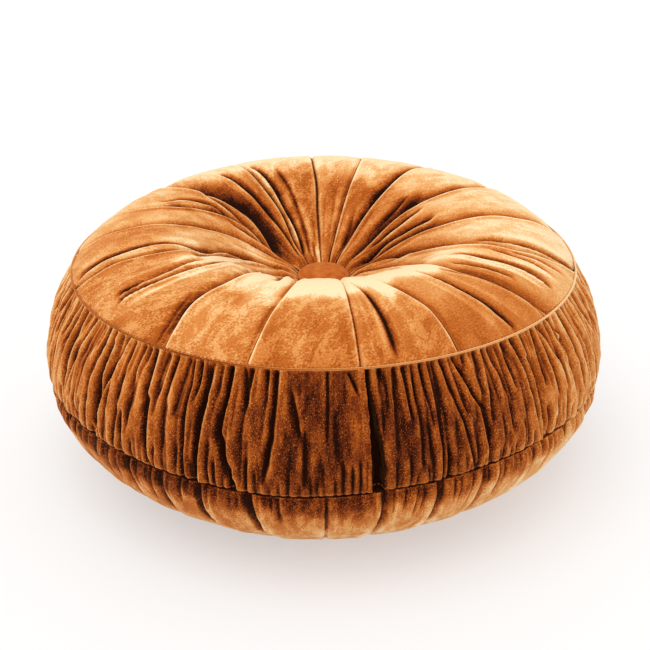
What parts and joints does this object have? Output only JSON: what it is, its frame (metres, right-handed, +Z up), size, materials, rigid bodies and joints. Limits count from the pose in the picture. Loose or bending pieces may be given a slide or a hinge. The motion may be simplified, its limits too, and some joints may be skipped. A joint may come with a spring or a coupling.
{
  "type": "round velvet pouf",
  "caption": "Round floor pouf: gored top drawn into a well by a covered button, welted rim, gathered side band and gored base.",
  "frame": {"origin": "middle of the flat underside, on the surface the pouf rests on", "axes": "+Z up through the button, -Y towards the front of the picture, +X to the right in the picture"},
  "size_m": [0.5994, 0.5982, 0.2715],
  "materials": {
    "crushed_velvet": "rust gold crushed velvet with a short shiny pile",
    "button_cloth": "plain rust orange velvet with the pile pressed flat"
  },
  "bodies": {
    "root": {"filled_cover": "crushed_velvet", "rim_welt": "crushed_velvet", "centre_button": "button_cloth"}
  },
  "joints": []
}
